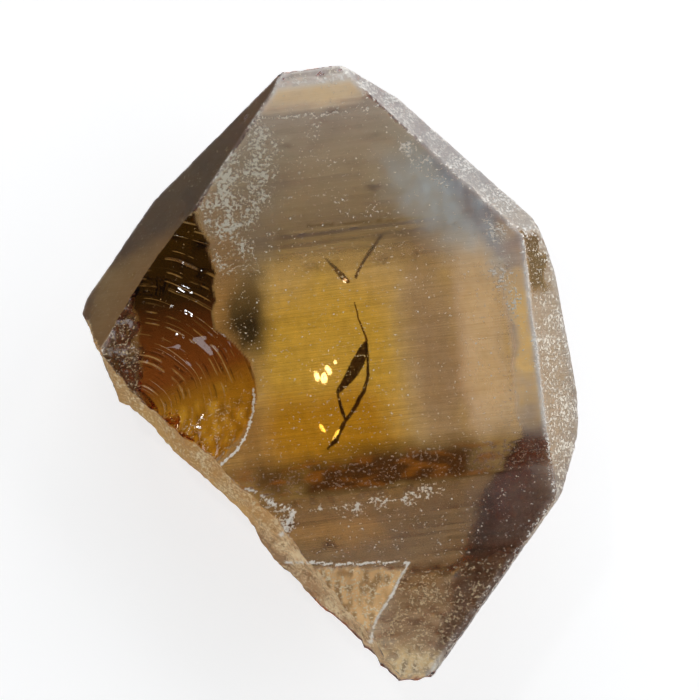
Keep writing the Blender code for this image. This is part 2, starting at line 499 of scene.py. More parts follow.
def front_depth(places, face):
    x, y = places[:, 0], places[:, 1]
    flat = places * [1, 1, 0]
    wander = 0.35 * lumps(flat, (14, 4, 1), 4.0)
    depth = HILLS * (1 + lumps(flat, (13, 9, 1), 1.0)) + striae_depth(flat)
    depth += GRIT * (1 + lumps(flat, 1.6, 2.0))
    depth += TOP_LIP_DROP * soft_step(-0.5, 0.5, y - TOP_LIP_Y + wander)
    depth += STEP_DROP * soft_step(0.7, -0.7, y - STEP_Y + 0.6 * wander)
    for level, start, end, deep, wide in GROOVES:
        reach = soft_step(start - 3, start + 3, x) * soft_step(end + 3, end - 3, x)
        depth += deep * reach * np.clip(1 - np.abs(y - level + wander) / wide, 0, 1)
    crumbs = CRUMB_HILLS * (1 + lumps(flat, 2.6, 7.0)) + CRUMB_GRIT * np.abs(lumps(flat, 1.2, 1.0))
    depth += crumbly_foot(places) * crumbs
    depth += BAND_ETCHING * band_mask(places) * np.abs(lumps(flat, (2.4, 1.1, 1), 8.2))
    depth += pit_depth(places, *FRONT_PITS)
    depth = np.maximum(depth + worn_depth(places, face), chip_depth(places, face))
    for scar in (scar_depth, foot_flake_depth, small_chip_depth):
        depth = np.maximum(depth, scar(places))
    return depth


print("the front has", FRONT_PITS[0], "small pits and crumbs up to", 2 * CRUMB_HILLS, "mm deep")

# %% [markdown]
# ## Carving with relief slabs
#
# A relief slab is a grid primitive laid on a growth plane, its vertices pushed in by the
# depth map and the whole sheet extruded outwards into a block. Taking it away from the
# blank with a Boolean leaves the relief as the crystal's new skin. The Boolean keeps every
# edge between two faces crisp, which a displaced or remeshed surface would round off.

# %% The relief slab
def slab_from_grid(name, centre, right, up, outward, half_width, half_length, cell, depth_at,
                   reach):
    """A block from depth_at(places) below the plane through centre to reach mm above it."""
    deselect_all()
    bpy.ops.mesh.primitive_grid_add(
        x_subdivisions=max(2, round(2 * half_width / cell)),
        y_subdivisions=max(2, round(2 * half_length / cell)), size=2,
    )
    slab = bpy.context.object
    slab.name = name
    u, v, _ = read_vertices(slab.data).T
    places = centre + np.outer(u * half_width, right) + np.outer(v * half_length, up)
    depth = depth_at(places)
    slab.data.vertices.foreach_set("co", to_frame(places - np.outer(depth, outward)).ravel())
    bpy.ops.object.mode_set(mode="EDIT")
    bpy.ops.mesh.select_all(action="SELECT")
    bpy.ops.mesh.extrude_region_move(
        TRANSFORM_OT_translate={"value": Vector(outward) * (depth.max() + reach) * MM})
    bpy.ops.mesh.select_all(action="SELECT")
    bpy.ops.mesh.normals_make_consistent(inside=False)
    bpy.ops.object.mode_set(mode="OBJECT")
    return slab


print("a slab starts as a grid and ends as a block")


# %% The cut
def carve(slab):
    """Takes a slab away from the crystal and throws the slab away."""
    # The manifold solver suits closed shapes like these, and is much faster than the exact one
    cut = crystal.modifiers.new("carve", "BOOLEAN")
    cut.operation = "DIFFERENCE"
    cut.solver = "MANIFOLD"
    cut.object = slab
    bpy.context.view_layer.objects.active = crystal
    bpy.ops.object.modifier_apply(modifier=cut.name)
    used = slab.data
    bpy.data.objects.remove(slab)
    bpy.data.meshes.remove(used)


print("to carve:", crystal.name)

# %% [markdown]
# ## The breaks
#
# The lower left corner and the foot were torn off when the crystal left its pocket. These
# surfaces have no plane to follow, so they are rough sheets with a bulge or a hollow, facing
# the way each break faces, at the places that the construction model gives them.

# %% Tear the corner and the foot away
BREAK_CELL, BREAK_REACH = 0.85, 90.0  # mm
RIDGES = 0.6  # mm
COARSE_CRUMBS, FINE_CRUMBS = 0.30, 0.20  # mm
BREAKS = {  # middle, facing, size, roughness and bulge (hollow below zero), all in mm
    "corner_front": ((-30.4, -31.3, -1), (-0.77, -0.57, 0.28), 140, 1.6, -5.5),
    "corner_back": ((-30.4, -31.3, -1), (-0.78, -0.58, -0.24), 140, 1.6, -5.5),
    "left_side": ((-56.8, 16.0, 0), (-0.96, -0.27, 0.02), 60, 0.9, 0.6),
    "foot_left": ((1.0, -72.5, 12), (-0.66, -0.70, 0.25), 50, 1.3, 0.8),
    "foot_end": ((11.0, -75.8, 14), (0.05, -0.97, 0.22), 50, 1.3, 1.2),
}


def break_slab(name):
    middle, facing, size, roughness, bulge = BREAKS[name]
    turn = Vector(facing).to_track_quat("Z", "Y").to_matrix()
    right, up, outward = (np.array(turn.col[i]) for i in range(3))
    middle = np.array(middle, dtype=float)

    def depth_at(places):
        on_sheet = np.stack([(places - middle) @ right, (places - middle) @ up,
                             np.zeros(len(places))], axis=1)
        rise = lumps(on_sheet, 14.0, middle) - 0.8 * np.abs(lumps(on_sheet, 8.0, -middle))
        rise *= roughness
        rise -= RIDGES * np.abs(lumps(on_sheet, (3.0, 4.2, 1), middle))
        off_middle = (on_sheet**2).sum(1) / (size**2 / 4)
        crumbs = COARSE_CRUMBS * lumps(on_sheet, (1.6, 3.0, 1), 2.0)
        crumbs += FINE_CRUMBS * np.abs(lumps(on_sheet, 1.3, 4.0))
        return -(rise + bulge * (0.5 - off_middle)) + crumbs

    return slab_from_grid(name, middle, right, up, outward, size / 2, size / 2, BREAK_CELL,
                          depth_at, BREAK_REACH)


for name in BREAKS:
    carve(break_slab(name))
print("after the breaks:", len(crystal.data.polygons), "faces")

# %% [markdown]
# ## Grinding the faces
#
# The coarse back faces go first and the fine front face last, because a Boolean takes
# longer the more facets both shapes have. The cell size is where detail is spent: half a
# millimetre on the front, around one on the faces that are seen less. A new blank, sawn to
# the same planes, tells how far each face reaches.

# %% Fit a slab to a growth face
FACE_MARGIN = 3.0  # mm that a slab reaches past its face


def face_extent(face, right, up):
    """How far the crystal's blank reaches along a growth plane, as (low, high) pairs."""
    corners = to_crystal(read_vertices(blank_mesh))
    near = corners[np.abs(face.inside(corners) + GRINDING) < 0.3]
    return [((near @ way).min() - FACE_MARGIN, (near @ way).max() + FACE_MARGIN)
            for way in (right, up)]


def carve_growth_face(face, cell, depth):
    outward = face.normal
    right = np.cross([0.0, 1.0, 0.0], outward)
    right /= np.linalg.norm(right)
    up = np.cross(outward, right)
    (left, rightmost), (bottom, top) = face_extent(face, right, up)
    centre = outward * face.distance + right * (left + rightmost) / 2 + up * (bottom + top) / 2
    carve(slab_from_grid(
        f"relief_{face.kind}", centre, right, up, outward, (rightmost - left) / 2,
        (top - bottom) / 2, cell, lambda places: depth(places, face), GRINDING + 1,
    ))


print("slabs reach", FACE_MARGIN, "mm past each face")

# %% Carve every growth face
FRONT_CELL, SIDE_CELL, BACK_CELL = 0.5, 0.75, 1.1  # mm
blank = saw_blank()
blank_mesh = blank.data
for face in sorted(growth_faces, key=lambda f: f.normal[2]):
    if face is not front_face:
        carve_growth_face(face, BACK_CELL if face.normal[2] < 0 else SIDE_CELL, plain_face_depth)
carve_growth_face(front_face, FRONT_CELL, front_depth)
bpy.data.objects.remove(blank)
bpy.data.meshes.remove(blank_mesh)
triangles = sum(len(p.vertices) - 2 for p in crystal.data.polygons)
print("the carved crystal has", triangles, "triangles")

# %% Smooth the skin and hand it to the frame
CRISP_ABOVE = 32  # degrees between facets, above which an edge stays sharp
deselect_all()
crystal.select_set(True)
bpy.context.view_layer.objects.active = crystal
bpy.ops.object.shade_smooth_by_angle(angle=radians(CRISP_ABOVE))
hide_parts("crystal")
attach(crystal, "root")
print(crystal.name, "stands for the model's crystal")

# %% [markdown]
# ## Painting what the skin is like
#
# The finish changes from place to place: clear window, milky etching, rust in the etched
# band, crushed white edges, smoke, and painted light and shade. Each of these is kept as a
# value on the vertices, worked out from where the vertex lies on the crystal, so the material
# can follow the real faces round every corner. First each vertex is told which face or break
# it belongs to.

# %% Measure each vertex
skin = to_crystal(read_vertices(crystal.data))
flat_skin = skin * [1, 1, 0]
skin_x, skin_y, skin_z = skin.T
facing_x, facing_y, facing_z = read_vertices(crystal.data, "normal").T
inside = np.sort([face.inside(skin) for face in growth_faces], axis=0)
grown = soft_step(1.3, 0.7, inside[0])  # 1 on growth faces, 0 on breaks
edge = soft_step(1.6, 0.3, inside[1]) * grown  # 1 along the edges between them
print(round(100 * grown.mean()), "% of the vertices lie on growth faces")


# %% Tell the front from the floors of the flakes
def on_floor(floor, lip):
    """1 on the floor of a flake, given how deep that floor lies under the front."""
    return soft_step(0.0, lip, floor) * soft_step(1.2, 0.6, np.abs(front_inside - floor))


front_inside = front_face.inside(skin)
in_scar = on_floor(scar_depth(skin), 0.5)
in_foot = on_floor(foot_flake_depth(skin), 0.4)
on_front = soft_step(1.4, 0.9, front_inside) * (1 - in_scar) * (1 - in_foot)
on_front *= soft_step(0.5, 0.8, facing_z)
print("front", int(on_front.sum()), "scar", int(in_scar.sum()), "foot", int(in_foot.sum()))

# %% Find the other faces and the torn ground
torn = (1 - grown) * (1 - in_scar) * (1 - in_foot)
torn_foot = torn * soft_step(-22, -40, skin_y)
rim = soft_step(-10, 8, skin_z)  # 1 near the front, 0 down the sides
chisel = grown * (facing_y > 0.5) * (facing_z > 0.6)
upper_left = grown * (facing_x < -0.5) * (facing_y > 0.4) * (facing_z > 0.2)
right_side = grown * (1 - on_front) * (np.abs(facing_z) < 0.9) * (facing_x > 0.4)
upper_right = right_side * (facing_y > 0.4) * (facing_z > 0.2)
print("torn", int(torn.sum()), "right side", int(right_side.sum()))

# %% Find the zones within a face
pane_wander = 2.5 * lumps(skin, 4.0, 8.0)
clear_pane = right_side * soft_step(12, 16, skin_y + pane_wander)
clear_pane *= soft_step(31, 27, skin_y + pane_wander)
clear_pane *= soft_step(56, 54, skin_x + pane_wander)
crumbly = on_front * crumbly_foot(skin)
rusty = on_front * band_mask(skin)
foot_tip = on_front * soft_step(-60, -68, skin_y + 0.35 * skin_x + pane_wander)
below_step = soft_step(-28.0, -28.6, skin_y + 0.3 * lumps(flat_skin, 2.0, 5.0))
crinkled = crushed(skin)
up_the_scar = skin_y - 0.25 * (skin_x + 40)
golden = in_scar * soft_step(0, -9, up_the_scar)  # the thin amber end of the scar
print("rusty band", int(rusty.sum()), "golden scar", int(golden.sum()))

# %% [markdown]
# ## Frost and haze
#
# Weathering etches quartz in spots, and knocks crush it along lines and edges. Both leave
# crisp white flecks on clear stone. Frost says how much of the skin such flecks cover, and
# haze how rough the skin between them is. Cracks are bent lines with a ragged rim. Etched
# patches are soft ovals with a wandering rim, and faces and breaks add their own share.

# %% Lines on the front
CRACK_LINES = (
    [(-24.5, -24.5), (-21.5, -26), (-18.5, -28.8), (-15.4, -30.2), (-13.2, -31.4), (-15.2, -34),
     (-17.4, -37.1)],
    [(-16.8, -44.1), (-11, -44.3), (-4, -45.6), (1.3, -46.1), (8, -46.6), (14, -47.4)],
    [(12.6, -47.6), (10, -51), (7.6, -55), (4.4, -58.6), (2.3, -61.8), (1.4, -65.4), (-0.4, -68)],
    [(-19.5, -0.8), (-20.2, -6), (-22.5, -11.5), (-25.6, -15.4), (-29.5, -18)],
)
FAINT_LINES = (
    [(-10.8, 64.3), (5.3, 63.4), (19.8, 63.7)],
    [(-25.4, 44.6), (-15, 44.7), (-4.6, 44.4)],
    [(-9, -31.5), (4, -31.9), (14, -31.6)],
)
DARK_LINES = (
    [(23.2, -42.3), (31, -42.8), (40.1, -42.9)],
    [(19.0, -45.9), (28, -46.3), (39.4, -46.3)],
    [(18.8, -51.3), (26, -51.4), (34.2, -51.7)],
    [(-1.6, 37.0), (12, 36.1), (26.1, 35.6)],
    [(-9, -28.4), (10, -28.6), (43, -28.2)],
)
print(len(CRACK_LINES), "crushed,", len(FAINT_LINES), "faint and", len(DARK_LINES), "dark lines")

# %% Draw the lines
raggedness = lumps(flat_skin, 1.5, 3.0)


def line_distance(line):
    """Distance of each vertex from a bent line on the front face."""
    nearest = np.full(len(skin), 1e9)
    for start, end in zip(line, line[1:]):
        start, run = np.array(start), np.subtract(end, start)
        share = np.clip((skin[:, :2] - start) @ run / (run @ run), 0, 1)
        away = np.linalg.norm(skin[:, :2] - start - share[:, None] * run, axis=1)
        nearest = np.minimum(nearest, away)
    return nearest


def on_lines(lines, width, wear):
    """1 on the lines, 0 away from them, with a ragged rim."""
    nearest = np.min([line_distance(line) for line in lines], axis=0)
    return soft_step(width, 0.1, nearest + wear * raggedness)


crack_line = 1.4 * on_lines(CRACK_LINES, 0.42, 0.3) * (facing_z > 0.2)
faint_line = 0.8 * on_lines(FAINT_LINES, 0.40, 0.5) * on_front
dark_line = on_lines(DARK_LINES, 0.55, 0.35) * on_front
print(int((crack_line > 0.5).sum()), "vertices on crushed lines")

# %% Frost in patches
WANDER = 2.0  # mm that the rim of a patch wanders
FROST_PATCHES = (  # middle, reach, turn, strength
    ((-18, 48), (9, 16), -35, 1.1),
    ((-12, 57), (6, 9), -35, 0.9),
    ((-20, 33), (6, 6), 0, 0.9),
    ((4, 56), (3, 10), 8, 0.55),
    ((11, 41), (9, 5), 0, 0.4),
    ((27, 50), (3, 9), 42, 0.9),
    ((12, 63), (9, 3), 0, 0.5),
    ((44, 22), (3.5, 18), 6, 0.8),
    ((-20, 12), (5, 12), 0, 0.35),
    ((-18.5, -31.5), (5.5, 5.5), 0, 1.0),
    ((10, -32), (12, 2.5), 7, 0.75),
)
rim_wander = lumps(skin, 9.0, 3.0) + 0.4 * lumps(skin, 3.0, 5.0)


def wash(middle, reach, turn, softness, boxy=2):
    """A soft-edged patch on the front: 1 in its middle, 0 outside."""
    angle = radians(turn)
    out = skin[:, :2] - middle
    u = (out[:, 0] * cos(angle) + out[:, 1] * sin(angle)) / reach[0]
    v = (-out[:, 0] * sin(angle) + out[:, 1] * cos(angle)) / reach[1]
    reached = (np.abs(u) ** boxy + np.abs(v) ** boxy) ** (1 / boxy)
    reached += WANDER / min(reach) * rim_wander
    return soft_step(1 + softness, 1 - softness, reached)


patchy = np.clip(0.6 + 0.6 * lumps(flat_skin, 4.5, 2.0) + 0.35 * lumps(flat_skin, 1.6, 6.0), 0, 1)
frost = np.zeros(len(skin))
for middle, reach, turn, strength in FROST_PATCHES:
    frost = np.maximum(frost, on_front * strength * wash(middle, reach, turn, 0.5) * patchy)
print(len(FROST_PATCHES), "patches of frost")

# %% Frost by face
for where, strength in (
    (on_front, 0.25), (crumbly, 0.62), (rusty, 0.52), (in_foot, 0.65),
    (in_scar * crinkled, 0.6), (golden, 0.52), (torn, 0.35 + 0.45 * rim),
    (torn_foot, 0.45 + 0.50 * rim), (foot_tip, 0.85), (right_side, 0.25 + 0.60 * rim),
    (chisel, 0.6), (upper_left, 0.25),
):
    frost = np.maximum(frost, strength * where * (0.35 + 0.65 * patchy))
frost *= 1 - 0.3 * clear_pane
for line in (0.9 * edge * (0.15 + 0.85 * patchy), crack_line, faint_line):
    frost = np.maximum(frost, line)
print("mean frost", frost.mean().round(2))

# %% Haze by face
haze = 0.12 + 0.16 * on_front * soft_step(20, 36, skin_y)
haze = np.where(in_scar > 0.5, 0.04, haze)
for where, roughness in (
    (in_foot, 0.45), (crumbly, 0.30), (right_side, 0.20), (torn, 0.15 + 0.2 * rim),
    (chisel, 0.4), (upper_left, 0.28),
):
    haze = np.maximum(haze, roughness * where)
print("mean haze", haze.mean().round(2))

# %% [markdown]
# ## Milk and stains
#
# Smoke, the golden window, the rust in the etched band and the clear amber strips show as
# broad zones along or straight across the long axis, because they follow how it grew.
# A stain is the tint that the skin gives to the light that passes it. Milk is quartz so
# full of tiny hollows that it throws light back instead, which pale and hazy zones need.
# Both are mixed in turn, one zone over the other, as with thin paint. Some zones are painted
# light instead: dark stains for dark surroundings that faces show, partly with the smoke, and
# a milky patch for the sheen of the sky.

# %% Colours, and how one is laid over another
def to_linear(hex_colour):
    """An sRGB hex colour as linear red, green, blue and alpha."""
    channels = [int(hex_colour[i:i + 2], 16) / 255 for i in (1, 3, 5)]
    return [c / 12.92 if c <= 0.04045 else ((c + 0.055) / 1.055) ** 2.4 for c in channels] + [1]


def plain_coat(hex_colour):
    return np.ones((len(skin), 3)) * to_linear(hex_colour)[:3]


def blend_colour(base, weight, hex_colour):
    """Lays a colour over base, as strongly as weight says at each vertex."""
    weight = np.clip(weight, 0, 1)[:, None]
    base[:] = base * (1 - weight) + np.array(to_linear(hex_colour)[:3]) * weight


print("middle grey is", round(to_linear("#808080")[0], 3), "of white in linear light")

# %% Milk on the front
MILK = (  # middle, reach, turn, strength, colour
    ((6, 50), (40, 24), 0, 0.17, "#A89C8C"),
    ((2, 71), (20, 5), 0, 0.66, "#F0CC94"),
    # Painted reflection: a bluish-grey milky patch for the sheen of the sky on the upper right
    ((37, 37), (24, 12), -48, 0.68, "#C0CCD0"),
    ((24, 0), (8, 24), 0, 0.20, "#B8A080"),
    ((37, 0), (6, 26), 0, 0.50, "#FFD090"),
    ((48, -3), (4.5, 33), 0, 0.85, "#FFD084"),
    ((-17, 42), (11, 18), -20, 0.30, "#8C887C"),
    ((20, -40), (34, 11), 0, 0.28, "#9C8C84"),
    ((38, -32), (10, 18), -30, 0.40, "#948478"),
)
milk = np.zeros(len(skin))
milk_colour = plain_coat("#B0A494")
for middle, reach, turn, strength, hex_colour in MILK:
    here = on_front * wash(middle, reach, turn, 0.5, 3)
    milk = np.maximum(milk, strength * here * (0.7 + 0.5 * patchy))
    blend_colour(milk_colour, here, hex_colour)
print("the front is", round(100 * (milk * on_front).sum() / on_front.sum()), "% milky")

# %% Milk and etching by face
etch_white = plain_coat("#E6DED0")
for where, strength, milky, white in (
    (right_side, 0.08 + 0.36 * rim, "#C4A880", "#FFF4E0"),
    (upper_right, 0.10 + 0.55 * rim, "#B4B0A8", "#E8E4DC"),
    (in_scar * crinkled, 0.55, "#70583A", "#CCB894"),
    (in_scar * (1 - crinkled), 0.0, "#806040", "#E0B880"),
    # Painted shade: the upper left face gets dark olive milk for the dark surroundings that it
    # mirrors
    (upper_left, 0.42, "#7A5C2C", "#B8A880"),
    (torn, 0.08 + 0.37 * rim, "#C09858", "#FFE8B8"),
    (torn_foot, 0.15 + 0.65 * rim, "#F4C88C", "#FFE0AC"),
    (in_foot, 0.98, "#FFCC8C", "#FFE6BC"),
    (crumbly, 0.36, "#A07C50", "#D8BC90"),
    (rusty, 0.06, "#684830", "#785840"),
    (foot_tip, 1.0, "#FFDCA0", "#FFE6BC"),
    (chisel, 0.75, "#A08C78", "#E0D4C0"),
    (crack_line, 0.0, "#F4EEE4", "#FFF8EC"),
    (edge, 0.0, "#F4EEE4", "#FFFAF0"),
):
    milk = np.maximum(milk, strength * where * (0.7 + 0.6 * patchy))
    blend_colour(milk_colour, where, milky)
    blend_colour(etch_white, where, white)
blend_colour(etch_white, on_front * wash((-17, 45), (14, 22), -20, 0.5, 3), "#CCC6B4")
rough_ground = np.clip(crumbly + in_foot + torn, 0, 1)
blotch = rough_ground * soft_step(-0.05, 0.4, lumps(skin, (1.5, 2.6, 1.5), 3.0))
blend_colour(milk_colour, 0.65 * blotch, "#7C5428")
milk *= 1 - 0.25 * blotch
milk *= 1 - 0.7 * rusty * (1 - below_step)
print("mean milk", milk.mean().round(2))

# %% Stains on the front
WASHES = (  # name, middle, reach, turn, boxy, softness, colour, strength
    # Smoky point: partly the quartz's own smoke, partly painted shade for the dark surroundings
    # that its steep back faces show
    ("smoky and shaded point", (2, 53), (60, 26), 0, 4, 0.30, "#767680", 1.0),
    ("pale lip", (2, 72), (24, 6), 0, 6, 0.3, "#E4D4C0", 0.9),
    ("honey window", (0, -1), (18, 27), 0, 3, 0.40, "#FFEE68", 1.0),
    ("olive base", (-3, -14), (17, 11), 0, 3, 0.4, "#C89400", 0.95),
    ("brown margin", (-25, 6), (6.5, 36), 0, 4, 0.5, "#9A7E66", 0.95),
    ("grey pillar", (26, 0), (7, 27), 0, 2.5, 0.7, "#9C94A4", 0.9),
    ("amber pillar", (38, 2), (4.5, 27), 0, 2.5, 0.7, "#FFF8E0", 0.9),
    # Painted reflection: a near-black patch for the dark surroundings that the inner faces mirror
    # here
    ("painted dark reflection patch", (-19.2, 16.0), (4.5, 11), -6, 2.3, 0.6, "#141210", 1.0),
    ("rusty band", (12, -24.8), (38, 6.6), 0, 4, 0.55, "#241002", 1.0),
    ("shelf", (8, -39), (44, 14.5), 0, 6, 0.12, "#7C7074", 1.0),
    ("dark shelf", (28, -42), (16, 8), 0, 2, 0.6, "#6A6064", 0.7),
    ("amber shelf", (-3, -38), (9, 4), 0, 2, 0.6, "#C8A070", 0.8),
    ("foot ground", (20, -58), (22, 11), 30, 3, 0.4, "#7C5838", 0.9),
)
stain = plain_coat("#FFFFFF")
for name, middle, reach, turn, boxy, softness, hex_colour, strength in WASHES:
    weight = strength * on_front * wash(middle, reach, turn, softness, boxy)
    if name.endswith("shelf"):
        weight *= below_step
    blend_colour(stain, weight, hex_colour)
streaks = np.clip(lumps(skin, (26, 1.3, 26), 13.0) + 0.6 * lumps(skin, (8, 3.4, 8), 14.0), 0, 1)
stain *= (1 - on_front * (0.26 + 0.24 * below_step) * streaks)[:, None]
print(len(WASHES), "washes, from", stain.min(0).round(2), "to", stain.max(0).round(2))

# %% Stains in the scar, the breaks and the small spots
amber_spots = rusty * soft_step(0.0, 0.5, lumps(skin, (6, 1.7, 6), 7.7))
curds = lumps(skin, (2.0, 2.8, 2.0), 4.4)
for weight, hex_colour in (
    (0.7 * amber_spots * (1 - below_step), "#7C4408"),
    (0.85 * dark_line, "#1C1410"),
    # Painted shade: the scar is stained dark brown, near black towards its top, for the dark
    # surroundings its slopes mirror
    (in_scar, "#4C1C04"),
    (in_scar * soft_step(2, 24, skin_y), "#060200"),
    (in_scar * soft_step(4, -12, up_the_scar), "#B07808"),
    (0.8 * golden * soft_step(0.0, 0.5, curds), "#5C3600"),
    (0.8 * golden * soft_step(-0.1, -0.6, curds), "#F0BC28"),
    (0.9 * in_scar * crinkled, "#4C3620"),
    (in_foot, "#D8A868"),
    (torn, "#D8B070"),
    (0.9 * clear_pane, "#686E7C"),
    # Painted shade: the upper left face is stained dark olive for the dark surroundings that it
    # mirrors
    (0.95 * upper_left, "#5C4A28"),
):
    blend_colour(stain, weight, hex_colour)
print("darkest stain", stain.min(0).round(3))

# %% Keep the values on the mesh
lined = grown * (1 - in_scar) * (1 - in_foot)  # 1 where growth lines show
lined *= 0.45 + 0.55 * soft_step(40, 33, skin_y)
lined += 0.8 * golden
# Shell says where the scar's ripples get a painted highlight on the crest and painted shade in the
# trough, less towards the top
shell = in_scar * (1 - crinkled) * (1 - 0.7 * golden)  # 1 where the scar has ripples
shell *= 1 - 0.65 * soft_step(6, 20, skin_y)
PAINTED = {
    "stain": stain, "etch_white": etch_white, "frost": frost, "haze": haze,
    "milk": milk * (1 - clear_pane), "milk_colour": milk_colour, "lined": lined, "shell": shell,
    "from_blow": np.linalg.norm(skin[:, :2] - STRIKE, axis=1) + 0.5 * lumps(flat_skin, 7.0, 9.0),
}
for name, values in PAINTED.items():
    if values.ndim == 2:
        layer = crystal.data.attributes.new(name, "FLOAT_COLOR", "POINT")
        layer.data.foreach_set("color", np.insert(values, 3, 1, axis=1).ravel())
    else:
        layer = crystal.data.attributes.new(name, "FLOAT", "POINT")
        layer.data.foreach_set("value", values)
print("painted:", *PAINTED)

# %% [markdown]
# ## Smoky citrine
#
# Smoky citrine is clear quartz: silica with a trace of iron and a little natural radiation
# damage, which drink blue light first and red light last. So the colour lives in the volume:
# a plain absorption makes thin parts pale and thick parts amber. Quartz bends light by
# 1.544. The skin adds the rest: glassy growth faces with fine level lines, and etched
# patches whose tiny pits scatter light and look white.

# %% Add a node, and start a material
def feed(node, inputs):
    """Feeds sockets, in order or by name: a number, a colour, a socket, or a node to read."""
    for key, value in inputs.items() if isinstance(inputs, dict) else enumerate(inputs):
        if isinstance(value, bpy.types.Node):
            value = value.outputs[0]
        if isinstance(value, bpy.types.NodeSocket):
            node.id_data.links.new(value, node.inputs[key])
        else:
            node.inputs[key].default_value = value


def add_node(tree, kind, inputs=None, **settings):
    """Adds one node with its settings and links."""
    node = tree.nodes.new("ShaderNode" + kind)
    for name, value in settings.items():
        setattr(node, name, value)
    feed(node, inputs or ())
    return node


def new_material(name):
    material = bpy.data.materials.new(name)
    material.use_nodes = True
    return material, material.node_tree


print("node materials so far:", sum(m.use_nodes for m in bpy.data.materials))

# %% Start the quartz and its grains
# Real growth lines and scratches are finer still: these are as coarse as they need to show
QUARTZ_IOR = 1.544
GRAINS = (  # name, size along x, y and z in mm, levels of detail, roughness of the detail
    ("fleck", (0.8, 0.7, 0.8), 4.5, 0.64),
    ("growth_line", (34, 0.32, 34), 3.0, 0.5),
    ("scratch", (8, 0.30, 8), 1.0, 0.5),
    ("mottle", (1.8, 3.2, 1.8), 6.0, 0.65),
    ("shell_patch", (4.5, 4.5, 4.5), 2.0, 0.5),
)
quartz, tree = new_material("smoky_citrine_quartz")
place = add_node(tree, "TexCoord").outputs["Object"]
painted = {name: add_node(tree, "Attribute", attribute_name=name) for name in PAINTED}
grain = {}
for name, sizes, detail, roughness in GRAINS:
    scaled = add_node(tree, "Mapping", {"Vector": place, "Scale": [1 / (mm * MM) for mm in sizes]})
    grain[name] = add_node(tree, "TexNoise", {
        "Vector": scaled, "Scale": 1.0, "Detail": detail, "Roughness": roughness})
print(len(painted), "painted values and", len(grain), "grains")

# %% Etched flecks and specks
# More frost lets more of the grain show white, and each fleck stays crisp
FLECK_GAIN, FLECK_START, FLECK_CRISPNESS = 0.28, 0.67, 13.0
SPECK_SPACING = 2.6 * MM
SPECK_RADIUS = 0.085  # of the spacing
EMPTY_CELLS = 0.62  # the share of cells without a speck
cover = add_node(tree, "Math", [painted["frost"], FLECK_GAIN, -FLECK_START],
                 operation="MULTIPLY_ADD")
above = add_node(tree, "Math", [grain["fleck"], cover], operation="ADD")
flecks = add_node(tree, "Math", [above, FLECK_CRISPNESS], operation="MULTIPLY", use_clamp=True)
cells = add_node(tree, "Mapping", {"Vector": place, "Scale": [1 / SPECK_SPACING] * 3})
specks = add_node(tree, "TexVoronoi", {"Vector": cells, "Scale": 1.0})
chance = add_node(tree, "SeparateColor", [specks.outputs["Color"]])
chosen = add_node(tree, "Math", [chance, EMPTY_CELLS], operation="GREATER_THAN")
small = add_node(tree, "Math", [specks, SPECK_RADIUS], operation="LESS_THAN")
dots = add_node(tree, "Math", [chosen, small], operation="MULTIPLY")
etched = add_node(tree, "Math", [flecks, dots], operation="MAXIMUM")
print("a speck is", round(2 * SPECK_RADIUS * SPECK_SPACING / MM, 2), "mm wide")

# %% Ripples of the scar
# Rings at uneven distances from the blow, seen only in patches: a painted highlight on each crest,
# painted shade in each trough
RIPPLE_LINE = 0.90  # mm, the mean spacing
rings = add_node(tree, "TexNoise", {
    "W": painted["from_blow"], "Scale": 1 / RIPPLE_LINE, "Detail": 2.0}, noise_dimensions="1D")
in_patch = add_node(tree, "MapRange", {
    "Value": grain["shell_patch"], "From Min": 0.45, "From Max": 0.60})
seen = add_node(tree, "Math", [in_patch, painted["shell"]], operation="MULTIPLY")
bands = []
for low, high, strength in ((0.60, 0.68, 0.55), (0.48, 0.36, 0.75)):
    band = add_node(tree, "MapRange", {
        "Value": rings, "From Min": low, "From Max": high, "To Max": strength})
    bands.append(add_node(tree, "Math", [band, seen], operation="MULTIPLY"))
crest_highlight, trough_shade = bands
etched = add_node(tree, "Math", [etched, crest_highlight], operation="MAXIMUM")
print("fine ripples every", RIPPLE_LINE, "mm")

# %% Colour of the skin
# Clear skin is a little darker along growth lines, scratches and mottle, and carries painted shade
# in the ripple troughs; milk hides that
DARKENING = (  # grain, from its value, to its value, how much darker
    ("growth_line", 0.62, 0.38, 0.26),
    ("scratch", 0.60, 0.72, 0.30),
    ("mottle", 0.65, 0.35, 0.20),
)
shade = add_node(tree, "Math", [1.0, trough_shade], operation="SUBTRACT")
for name, low, high, darkest in DARKENING:
    dark = add_node(tree, "MapRange", {
        "Value": grain[name], "From Min": low, "From Max": high, "To Max": darkest})
    on_face = add_node(tree, "Math", [dark, painted["lined"]], operation="MULTIPLY")
    left = add_node(tree, "Math", [1.0, on_face], operation="SUBTRACT")
    shade = add_node(tree, "Math", [shade, left], operation="MULTIPLY")
tint = add_node(tree, "VectorMath", {0: painted["stain"], "Scale": shade}, operation="SCALE")
milky = add_node(tree, "Mix", {0: painted["milk"], 6: tint, 7: painted["milk_colour"]},
                 data_type="RGBA")
colour = add_node(tree, "Mix", {0: etched, 6: milky.outputs[2], 7: painted["etch_white"]},
                  data_type="RGBA")
print("up to", len(DARKENING), "grains darken the skin")

